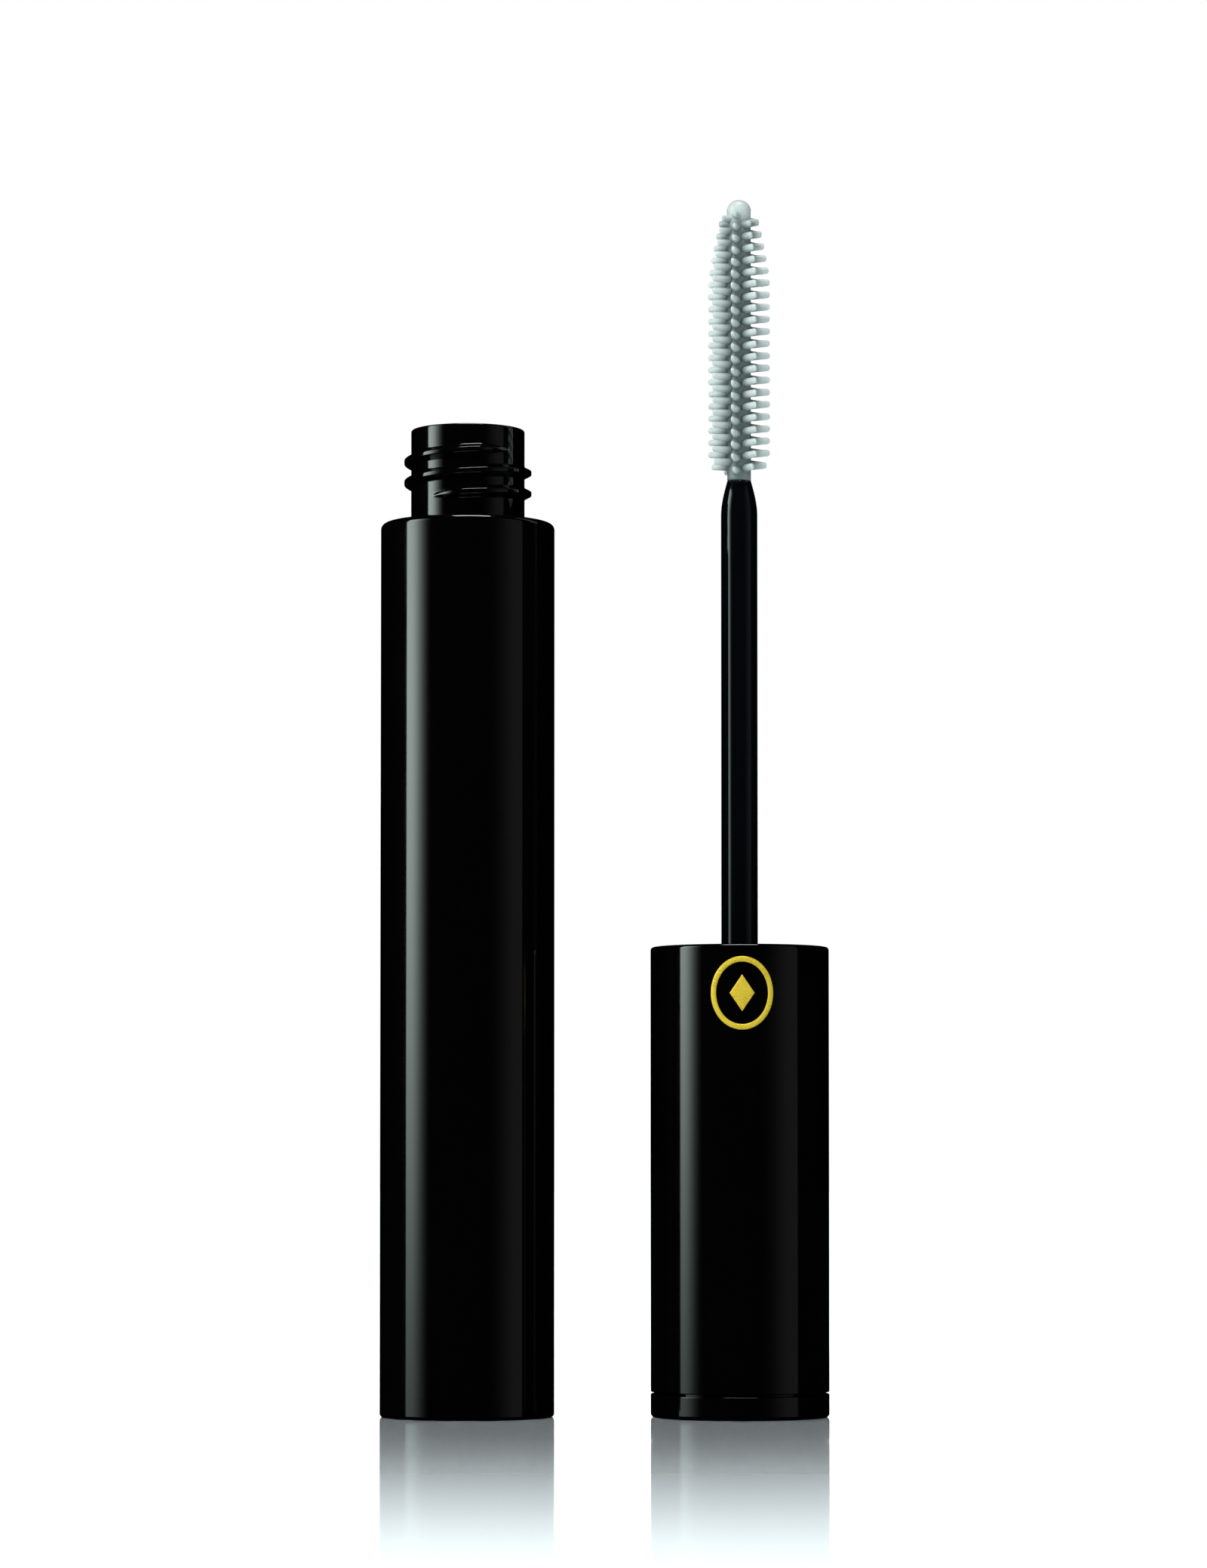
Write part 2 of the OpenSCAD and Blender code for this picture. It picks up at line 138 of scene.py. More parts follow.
def turned(name, outline, x=0.0, closed=False, segments=192, relief=None):
    """Solid of revolution about a vertical axis at x, from (radius, height) points that go
    up the outside. relief(radius, height, angle) may add to the radius."""
    mesh = bmesh.new()
    rings = []
    for r, z in outline:
        if r < 1e-6:
            rings.append([mesh.verts.new((x * MM, 0, z * MM))])
            continue
        ring = []
        for k in range(segments):
            a = 2 * math.pi * k / segments
            rr = r + (relief(r, z, a) if relief else 0)
            ring.append(mesh.verts.new(((x + rr * math.cos(a)) * MM, rr * math.sin(a) * MM, z * MM)))
        rings.append(ring)
    pairs = list(zip(rings, rings[1:] + rings[:1] if closed else rings[1:]))
    for lower, upper in pairs:
        for k in range(segments):
            m = (k + 1) % segments
            corners = list(dict.fromkeys([lower[k % len(lower)], lower[m % len(lower)],
                                          upper[m % len(upper)], upper[k % len(upper)]]))
            if len(corners) > 2:
                mesh.faces.new(corners)
    return as_piece(name, mesh)


def as_piece(name, mesh):
    """Object at the origin from a bmesh, with its faces outward."""
    bmesh.ops.recalc_face_normals(mesh, faces=mesh.faces)
    data = bpy.data.meshes.new(name)
    mesh.to_mesh(data)
    mesh.free()
    data.shade_smooth()
    piece = bpy.data.objects.new(name, data)
    bpy.context.scene.collection.objects.link(piece)
    return piece


def levels(r, first, last, step):
    """Closely spaced points up or down a wall of radius r, for a thread to stand on."""
    count = round(abs(last - first) / step)
    return [(r, first + (last - first) * i / count) for i in range(count + 1)]


def smoothstep(t):
    """Eased share of the way from 0 to 1."""
    t = min(max(t, 0.0), 1.0)
    return t * t * (3 - 2 * t)


def thread(start_z, start_deg, turns, height, half_base=0.66, half_crest=0.16, lead=38):
    """Relief of a right-hand thread ridge that fades in and out over lead degrees."""
    def relief(r, z, a):
        deg = math.degrees(a)
        best = 0.0
        first = math.floor((start_deg - deg) / 360)
        for k in range(first, first + math.ceil(turns) + 2):
            along = deg + 360 * k - start_deg
            if not 0 <= along <= 360 * turns:
                continue
            fade = smoothstep(min(along, 360 * turns - along) / lead)
            off = abs(z - start_z - pitch * along / 360)
            reach = half_base * (0.45 + 0.55 * fade)
            best = max(best, fade * smoothstep((reach - off) / (reach - half_crest * fade)))
        return height * best
    return relief


# ---------------------------------------------------------------- shared finishes


class Nodes:
    """Short calls for building a node tree."""

    def __init__(self, tree):
        self.tree = tree

    def add(self, kind, values=None, **settings):
        node = self.tree.nodes.new(kind)
        for key, value in settings.items():
            setattr(node, key, value)
        for key, value in (values or {}).items():
            if isinstance(value, bpy.types.NodeSocket):
                self.tree.links.new(value, node.inputs[key])
            else:
                node.inputs[key].default_value = value
        return node

    def math(self, operation, a, b=0.0, c=0.0, clamp=False):
        node = self.add("ShaderNodeMath", {0: a, 1: b, 2: c}, operation=operation, use_clamp=clamp)
        return node.outputs[0]

    def length(self, a, b):
        """Length of a flat vector from its two parts."""
        squares = [self.math("MULTIPLY", part, part) for part in (a, b)]
        return self.math("SQRT", self.math("ADD", *squares))

    def from_axis(self):
        """Distance from the applicator's axis, and the three axes, in metres."""
        place = self.add("ShaderNodeTexCoord").outputs["Object"]
        centred = self.add("ShaderNodeMapping", {"Vector": place, "Location": (-cap_x * MM, 0, 0)})
        axes = self.add("ShaderNodeSeparateXYZ", {0: centred.outputs[0]}).outputs
        return self.length(axes[0], axes[1]), axes

    def spread(self, value, low_in, high_in, low_out=0.0, high_out=1.0):
        """Value remapped smoothly from one range to another, clamped."""
        ends = {0: value, 1: low_in, 2: high_in, 3: low_out, 4: high_out}
        return self.add("ShaderNodeMapRange", ends, interpolation_type="SMOOTHSTEP").outputs[0]

    def mix(self, factor, a, b):
        node = self.add("ShaderNodeMix", data_type="RGBA")
        for socket, value in zip([node.inputs[0], node.inputs[6], node.inputs[7]], [factor, a, b]):
            if isinstance(value, bpy.types.NodeSocket):
                self.tree.links.new(value, socket)
            else:
                socket.default_value = value
        return node.outputs[2]


def group(name, inputs, outputs):
    """Empty shader group with named float sockets, its node helper, and its two end nodes."""
    tree = bpy.data.node_groups.new(name, "ShaderNodeTree")
    for label, default in inputs:
        socket = tree.interface.new_socket(label, in_out="INPUT", socket_type="NodeSocketFloat")
        socket.default_value = default
    for label in outputs:
        tree.interface.new_socket(label, in_out="OUTPUT", socket_type="NodeSocketFloat")
    return tree, Nodes(tree), tree.nodes.new("NodeGroupInput"), tree.nodes.new("NodeGroupOutput")


def make_moulded_skin():
    """Skin of a moulded part: slow waviness, fine grain, and a mask of faint dust."""
    tree, n, given, out = group(
        "moulded_skin", [("Wave", 0.5), ("Grain", 0.5), ("Size mm", 1.0)], ["Height", "Rough", "Dust"])
    place = n.add("ShaderNodeTexCoord").outputs["Object"]
    per_m = n.math("DIVIDE", 1000.0, given.outputs["Size mm"])
    wave, grain, dust = (
        n.add(kind, {"Vector": place, "Scale": n.math("MULTIPLY", per_m, scale), **more})
        for kind, scale, more in (("ShaderNodeTexNoise", 0.25, {"Detail": 1.0}),
                                  ("ShaderNodeTexNoise", 6.0, {"Detail": 3.0}),
                                  ("ShaderNodeTexVoronoi", 1.6, {})))
    soft = n.math("MULTIPLY", wave.outputs["Fac"], given.outputs["Wave"])
    sharp = n.math("MULTIPLY", grain.outputs["Fac"], given.outputs["Grain"])
    link = tree.links.new
    link(n.math("ADD", soft, sharp), out.inputs["Height"])
    link(n.math("MULTIPLY_ADD", grain.outputs["Fac"], 0.6, n.math("MULTIPLY", wave.outputs["Fac"], 0.4)),
         out.inputs["Rough"])
    link(n.spread(dust.outputs["Distance"], 0.05, 0.02), out.inputs["Dust"])
    return tree


def make_turning_marks():
    """Fine rings left by turning or drawing round the applicator's axis."""
    tree, n, given, out = group("turning_marks", [("Rings per mm", 12.0)], ["Height", "Rough"])
    across, axes = n.from_axis()
    count = n.math("MULTIPLY", given.outputs["Rings per mm"], 1000.0)
    where = n.add("ShaderNodeCombineXYZ", {0: n.math("MULTIPLY", across, count),
                                           2: n.math("MULTIPLY", axes[2], count)})
    marks = n.add("ShaderNodeTexNoise", {"Vector": where.outputs[0], "Scale": 1.0, "Detail": 2.0})
    tree.links.new(marks.outputs["Fac"], out.inputs["Height"])
    tree.links.new(marks.outputs["Fac"], out.inputs["Rough"])
    return tree


skin = make_moulded_skin()
marks = make_turning_marks()


def material(name, **constants):
    """New material with its Principled shader. Constants go on the shader's own sockets."""
    made = bpy.data.materials.new(name)
    made.use_nodes = True
    shader = made.node_tree.nodes["Principled BSDF"]
    for key, value in constants.items():
        shader.inputs[key.replace("_", " ")].default_value = value
    return made, Nodes(made.node_tree), shader


def use_skin(n, shader, rough, spread, wave, grain, size, bump):
    """Moulded skin on a shader: roughness about rough, and a bump of the given height in mm."""
    finish = n.add("ShaderNodeGroup", node_tree=skin)
    for key, value in (("Wave", wave), ("Grain", grain), ("Size mm", size)):
        finish.inputs[key].default_value = value
    n.tree.links.new(n.spread(finish.outputs["Rough"], 0.3, 0.7, rough - spread, rough + spread),
                     shader.inputs["Roughness"])
    lumps = n.add("ShaderNodeBump", {"Height": finish.outputs["Height"], "Distance": bump * MM,
                                     "Strength": 1.0})
    n.tree.links.new(lumps.outputs[0], shader.inputs["Normal"])
    return finish


def gloss_black(name, tint, coat=0.6):
    """Lacquered black plastic: deep, clear, with a trace of orange peel and dust."""
    made, n, shader = material(name, IOR=1.5, Coat_Weight=coat, Coat_Roughness=0.02, Coat_IOR=1.5)
    finish = use_skin(n, shader, 0.09, 0.025, 0.9, 0.02, 1.6, 0.0012)
    n.tree.links.new(n.mix(n.math("MULTIPLY", finish.outputs["Dust"], 0.01), tint, (0.12, 0.12, 0.12, 1)),
                     shader.inputs["Base Color"])
    return made


def satin_plastic(name, colour, rough=0.42, size=0.6):
    """Plain moulded plastic with a fine spark-eroded grain."""
    made, n, shader = material(name, IOR=1.48)
    finish = use_skin(n, shader, rough, 0.06, 0.4, 0.5, size, 0.006)
    pale = tuple(min(1.0, c * 1.35 + 0.01) for c in colour[:3]) + (1,)
    n.tree.links.new(n.mix(finish.outputs["Rough"], colour, pale), shader.inputs["Base Color"])
    return made


def soft_rubber(name, colour, smear=0.0):
    """Matt elastomer. smear covers part of it with black mascara."""
    made, n, shader = material(name, IOR=1.45, Sheen_Weight=0.15, Sheen_Roughness=0.5)
    use_skin(n, shader, 0.6, 0.08, 0.5, 0.5, 0.5, 0.008)
    place = n.add("ShaderNodeTexCoord").outputs["Object"]
    blots = n.add("ShaderNodeTexNoise",
                  {"Vector": place, "Scale": 420.0, "Detail": 5.0, "Distortion": 0.8})
    wet = n.spread(blots.outputs["Fac"], 0.62 - 0.4 * smear, 0.7 - 0.4 * smear) if smear else 0.0
    n.tree.links.new(n.mix(wet, colour, (0.012, 0.011, 0.012, 1)) if smear else
                     n.mix(blots.outputs["Fac"], colour, tuple(0.88 * c for c in colour[:3]) + (1,)),
                     shader.inputs["Base Color"])
    return made


def worked_metal(name, colour, rough=0.28, rings=12.0):
    """Turned or drawn metal with fine rings round the axis."""
    made, n, shader = material(name, Metallic=1.0)
    finish = n.add("ShaderNodeGroup", node_tree=marks)
    finish.inputs["Rings per mm"].default_value = rings
    n.tree.links.new(n.spread(finish.outputs["Rough"], 0.3, 0.7, rough - 0.08, rough + 0.1),
                     shader.inputs["Roughness"])
    lumps = n.add("ShaderNodeBump", {"Height": finish.outputs["Height"], "Distance": 0.004 * MM})
    n.tree.links.new(lumps.outputs[0], shader.inputs["Normal"])
    dull = tuple(0.82 * c for c in colour[:3]) + (1,)
    n.tree.links.new(n.mix(finish.outputs["Height"], colour, dull), shader.inputs["Base Color"])
    return made


bottle_black = gloss_black("bottle_black", (0.0007, 0.0007, 0.0007, 1))
cap_black = gloss_black("cap_black", (0.0007, 0.0007, 0.0009, 1))
stem_black = gloss_black("stem_black", (0.0012, 0.0017, 0.0024, 1), coat=0.3)


def make_brush_pale():
    """Pale translucent elastomer of the brush, with painted shade: its colour is greyer and darker
    towards its core, between the teeth, and pale again near the domed tip.
    """
    made, n, shader = material("brush_pale", IOR=1.46, Subsurface_Weight=0.12, Subsurface_Scale=0.0006,
                               Subsurface_Radius=(1.0, 1.0, 0.95))
    use_skin(n, shader, 0.26, 0.05, 0.5, 0.3, 0.8, 0.004)
    across, axes = n.from_axis()
    # Painted shade: the base colour darkens towards the brush's core, where shade falls between the
    # teeth; near the tip the dome is kept pale.
    outward = n.spread(across, 1.0 * MM, 2.6 * MM)
    upper = n.spread(axes[2], (brush_tip - 3.2) * MM, (brush_tip - 1.2) * MM, 0.0, 0.9)
    core_shaded_colour = n.mix(n.math("MAXIMUM", outward, upper), (0.16, 0.205, 0.195, 1), (0.56, 0.63, 0.61, 1))
    n.tree.links.new(core_shaded_colour, shader.inputs["Base Color"])
    return made


def make_badge_gold():
    """Gold print under clear lacquer, with a faint hammered lustre."""
    made, n, shader = material("badge_gold", Metallic=0.35)
    finish = use_skin(n, shader, 0.3, 0.06, 0.5, 0.4, 0.7, 0.01)
    n.tree.links.new(n.mix(finish.outputs["Rough"], (0.92, 0.64, 0.035, 1), (0.98, 0.76, 0.07, 1)),
                     shader.inputs["Base Color"])
    return made


brush_pale = make_brush_pale()
badge_gold = make_badge_gold()
inner_black = satin_plastic("inner_cap_black", (0.012, 0.012, 0.013, 1), 0.36)
hub_grey = satin_plastic("hub_grey", (0.02, 0.02, 0.022, 1), 0.4)
chassis_grey = satin_plastic("chassis_grey", (0.09, 0.09, 0.1, 1), 0.5)
motor_plastic = satin_plastic("motor_plastic", (0.66, 0.65, 0.6, 1), 0.45)
board_green = satin_plastic("board_green", (0.015, 0.12, 0.045, 1), 0.35, 0.9)
wiper_rubber = soft_rubber("wiper_rubber", (0.72, 0.72, 0.69, 1), smear=0.75)
seal_foam = soft_rubber("seal_foam", (0.74, 0.74, 0.7, 1), smear=0.2)
grommet_rubber = soft_rubber("grommet_rubber", (0.02, 0.02, 0.021, 1))
cell_steel = worked_metal("cell_steel", (0.62, 0.62, 0.64, 1), 0.26)
motor_steel = worked_metal("motor_steel", (0.6, 0.6, 0.62, 1), 0.3, 8)
shaft_steel = worked_metal("shaft_steel", (0.58, 0.58, 0.6, 1), 0.2, 20)
spring_steel = worked_metal("spring_steel", (0.58, 0.57, 0.54, 1), 0.3, 6)
dome_steel = worked_metal("dome_steel", (0.66, 0.66, 0.68, 1), 0.22, 10)
contact_brass = worked_metal("contact_brass", (0.78, 0.58, 0.26, 1), 0.3, 9)
weight_metal = worked_metal("weight_metal", (0.33, 0.33, 0.32, 1), 0.5, 5)
lead_red = satin_plastic("lead_red", (0.45, 0.012, 0.012, 1), 0.3, 0.4)
lead_black = satin_plastic("lead_black", (0.012, 0.012, 0.012, 1), 0.3, 0.4)

# ---------------------------------------------------------------- pieces


def place(piece, body, node, finish):
    """Gives a piece its finish, its body and the CAD node that it stands for."""
    piece.data.materials.clear()
    piece.data.materials.append(finish)
    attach(piece, body)
    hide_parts(node)


def make_bottle():
    """One moulding: body, shoulder, neck with its thread, bore and cavity."""
    foot, top = shoulder + 0.5, rim - 0.35
    neck = levels(neck_r, foot, top, 0.055)
    outside = rounded([(0, 0, 0), (bottle_r, 0, 0.35), (bottle_r, shoulder, 0.6),
                       (neck_r, shoulder, 0.42), (neck_r, foot + 0.05, 0)], 7)
    cavity_r, floor_z = 5.7, 3.0
    mouth = rounded([(neck_r, top - 0.05, 0), (neck_r, rim, 0.3), (flange_r, rim, 0.08),
                     (flange_r, rim - flange_t, 0.05), (neck_bore_r, rim - flange_t, 0.1),
                     (neck_bore_r, rim - 10.4, 0.3), (cavity_r, rim - 11.8, 0.5),
                     (cavity_r, floor_z, 0.8), (0, floor_z, 0)], 5)
    ridge = thread(shoulder + thread_start, thread_deg, 2.24, thread_r - neck_r)

    def relief(r, z, a):
        return ridge(r, z, a) if abs(r - neck_r) < 1e-6 and foot <= z <= top else 0.0
    piece = turned("bottle_moulding", outside[:-1] + neck + mouth[1:], segments=240, relief=relief)
    place(piece, "bottle", "bottle", bottle_black)


def make_wiper():
    """Soft plug in the neck, with its cone and wiping edge."""
    outer_r, bore_r, hole_r, foot = neck_bore_r - 0.05, 3.65, 1.95, rim - 10.8
    outline = rounded([(outer_r, foot, 0), (outer_r, rim - flange_t, 0),
                       (flange_r - 0.05, rim - flange_t, 0.08), (flange_r - 0.05, rim, 0.12),
                       (3.9, rim, 0.2), (bore_r, rim - 0.8, 0.4), (bore_r, rim - 5.5, 0.6),
                       (hole_r, rim - 9.6, 0.2), (hole_r, rim - 10, 0.1), (hole_r + 0.4, rim - 10, 0.1),
                       (bore_r, rim - 6.5, 0.4), (bore_r, foot, 0)], 4)
    place(turned("wiper_plug", outline, closed=True, segments=128), "bottle", "wiper", wiper_rubber)


def make_cap_shell():
    """Glossy outer shell, open at its lip, with the rib that holds the button."""
    base = seam_high
    inside = base + rebate_h
    outline = rounded([(rib_r, inside + 0.3, 0), (rib_r, inside, 0.05), (rebate_r, inside, 0.05),
                       (rebate_r, base, 0.05), (cap_r, base, 0.1), (cap_r, lip, 0.32),
                       (shell_r + 0.05, lip, 0.2), (shell_r, lip - 0.6, 0.1),
                       (shell_r, base + rib_h, 0.05), (rib_r, base + rib_h, 0.05),
                       (rib_r, inside + 0.32, 0)], 6)
    place(turned("cap_outer_shell", outline, cap_x, closed=True), "cap", "cap_shell", cap_black)


def make_end_button():
    """Closed end of the cap: a disc with a skirt, a snap lip and a plunger."""
    top = high("end_button").z
    slip = 0.2
    step_r, step_top = rebate_r - slip, seam_low + rebate_h
    skirt_r, catch_r, catch = rib_r - slip, 7.35, seam_high + rib_h + slip
    pocket_r, pocket_floor, plunger_r, plunger_top = 6.0, 1.2, 1.2, top - 0.2
    outline = rounded([(0, 0, 0), (cap_r, 0, 0.38), (cap_r, seam_low, 0.1), (step_r, seam_low, 0.03),
                       (step_r, step_top, 0.08), (skirt_r, step_top, 0.03), (skirt_r, catch, 0.03),
                       (catch_r, catch, 0.05), (catch_r, catch + 0.2, 0.06), (skirt_r, top, 0.05),
                       (pocket_r, top, 0.05), (pocket_r, pocket_floor, 0.2),
                       (plunger_r, pocket_floor, 0.2), (plunger_r, plunger_top, 0.1),
                       (0, plunger_top, 0)], 7)
    place(turned("end_button_disc", outline, cap_x), "button", "end_button", cap_black)


def make_inner_cap():
    """Threaded socket in the shell. The ridge stands inward from the socket's wall."""
    root, mouth_r, wall_r = 6.75, 7.05, shell_r - 0.05
    foot, top = socket_floor + 0.3, lip - 1.3
    wall = levels(root, top, foot, 0.07)
    floor_low = low("inner_cap").z
    outer = rounded([(grommet_r, floor_low + 0.7, 0), (grommet_r, floor_low, 0.1),
                     (wall_r, floor_low, 0.2), (wall_r, lip - 0.4, 0.1), (mouth_r, lip - 0.4, 0.12),
                     (mouth_r, lip - 1.1, 0.15), (root, top, 0)], 4)
    inner = rounded([(root, foot, 0), (root, socket_floor, 0.2), (grommet_r, socket_floor, 0.1),
                     (grommet_r, floor_low + 0.72, 0)], 4)
    # The ridge starts midway between the bottle's turns, 1.8 turns below where they match
    ridge = thread(lip - thread_start - pitch * 2.3, 180 - thread_deg - 360 * 1.8, 1.6,
                   root - neck_r - 0.25)

    def relief(r, z, a):
        return -ridge(r, z, a) if abs(r - root) < 1e-6 and foot <= z <= top else 0.0
    piece = turned("inner_cap_socket", outer + wall[1:] + inner[1:], cap_x, closed=True,
                   segments=200, relief=relief)
    place(piece, "cap", "inner_cap", inner_black)


def make_small_rounds():
    """Seal, grommet and stem."""
    z, top, bore_r, outer_r = low("cap_seal").z, high("cap_seal").z, 4.9, 6.4
    middle = (z + top) / 2
    seal = rounded([(bore_r, middle, 0), (bore_r, z, 0.12), (outer_r, z, 0.12), (outer_r, top, 0.15),
                    (bore_r, top, 0.15), (bore_r, middle + 0.02, 0)], 4)
    piece = turned("cap_seal_washer", seal, cap_x, closed=True, segments=128)
    place(piece, "seal", "cap_seal", seal_foam)

    z, top = low("grommet").z, high("grommet").z
    bore_r, waist_r, outer_r, flange = 2.6, 4.0, 4.7, 0.55
    ring = rounded([(bore_r, z + 1, 0), (bore_r, z, 0.1), (outer_r, z, 0.2), (outer_r, z + flange, 0.1),
                    (waist_r, z + flange, 0.05), (waist_r, top - flange, 0.05),
                    (outer_r, top - flange, 0.1), (outer_r, top, 0.22), (bore_r, top, 0.15),
                    (bore_r, z + 1.02, 0)], 4)
    piece = turned("grommet_ring", ring, cap_x, closed=True, segments=128)
    place(piece, "cap", "grommet", grommet_rubber)

    foot, spigot_r, steps = low("stem").z, 1.6, 16
    nose = [(nose_r + (stem_r - nose_r) * math.cos(math.pi / 2 * i / steps),
             nose_base + (brush_base - nose_base) * i / steps) for i in range(1, steps + 1)]
    shaft = rounded([(0, foot, 0), (spigot_r, foot, 0.2), (spigot_r, hub_top, 0.02),
                     (stem_r, hub_top, 0.15), (stem_r, nose_base - 0.1, 0)], 5) + nose
    hole = [(0.86, brush_base - 0.01), (0.85, brush_base - 1.2), (0.85, pin_hole), (0, pin_hole)]
    place(turned("stem_rod", shaft + hole, cap_x, segments=96), "wand", "stem", stem_black)


def make_snap_dome():
    """Thin sprung steel dome under the board, made here in its raised shape; the button presses the real
    one flatter.
    """
    foot, top = low("snap_dome").z, high("snap_dome").z
    reach, thick, steps = 3.0, 0.12, 10
    rise = top - foot - thick
    ball = (reach * reach + rise * rise) / (2 * rise)
    angles = [math.asin(reach / ball) * i / steps for i in range(steps + 1)]
    outer, inner = ([(r * math.sin(a), foot + ball - r * math.cos(a)) for a in angles]
                    for r in (ball, ball - thick))
    dome = turned("snap_dome_disc", outer + inner[::-1], cap_x, segments=64)
    place(dome, "cap", "snap_dome", dome_steel)
    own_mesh(dome)


def oval(w, h, count=96):
    """Points round an upright oval."""
    return [(w / 2 * math.cos(2 * math.pi * i / count), h / 2 * math.sin(2 * math.pi * i / count))
            for i in range(count)]


def make_badge():
    """Upright oval band round a plain lozenge, domed and wrapped on the cap's front."""
    w, h = high("badge").x - low("badge").x, high("badge").z - low("badge").z
    z = (high("badge").z + low("badge").z) / 2
    thick = 0.12
    mesh = bmesh.new()

    def on_cap(u, v, lift):
        a = u / cap_r
        r = cap_r + lift
        return ((cap_x + r * math.sin(a)) * MM, -r * math.cos(a) * MM, (z + v) * MM)

    def joined(rings, closed=False):
        """Surface through rings of points of equal count, and its rows of points."""
        rows = [[mesh.verts.new(on_cap(*p)) for p in ring] for ring in rings]
        for a, b in zip(rows, rows[1:] + rows[:1] if closed else rows[1:]):
            for k in range(len(a)):
                m = (k + 1) % len(a)
                mesh.faces.new([a[k], a[m], b[m], b[k]])
        return rows

    sunk = -0.02                    # its underside, just inside the shell
    arc_w = 2 * cap_r * math.asin(w / 2 / cap_r)
    section = [(0, 0), (0.06, 0.75), (0.18, 0.97), (0.275, 1.0), (0.37, 0.97), (0.49, 0.75), (0.55, 0)]
    band = [(inset, thick * lift) for inset, lift in section] + [(section[-1][0], sunk), (0, sunk)]
    joined([[(u, v, lift) for u, v in oval(arc_w - 2 * inset, h - 2 * inset)] for inset, lift in band],
           closed=True)

    # The lozenge: four facets that rise to its middle
    reach = [(w / 5, 0), (0, h / 4), (-w / 5, 0), (0, -h / 4)]
    edge = []
    for (u0, v0), (u1, v1) in zip(reach, reach[1:] + reach[:1]):
        edge += [(u0 + (u1 - u0) * k / 6, v0 + (v1 - v0) * k / 6) for k in range(6)]
    rows = joined([[(u * scale, v * scale, lift) for u, v in edge] for scale, lift in
                   ((1, sunk), (1, 0.03), (0.9, 0.07), (0.6, 0.09), (0.3, 0.11))])
    for ring, lift in ((rows[0], sunk), (rows[-1], thick)):
        middle = mesh.verts.new(on_cap(0, 0, lift))
        for k in range(len(ring)):
            mesh.faces.new([ring[k], ring[(k + 1) % len(ring)], middle])
    place(as_piece("badge_oval", mesh), "cap", "badge", badge_gold)


# ---------------------------------------------------------------- brush, by Geometry Nodes


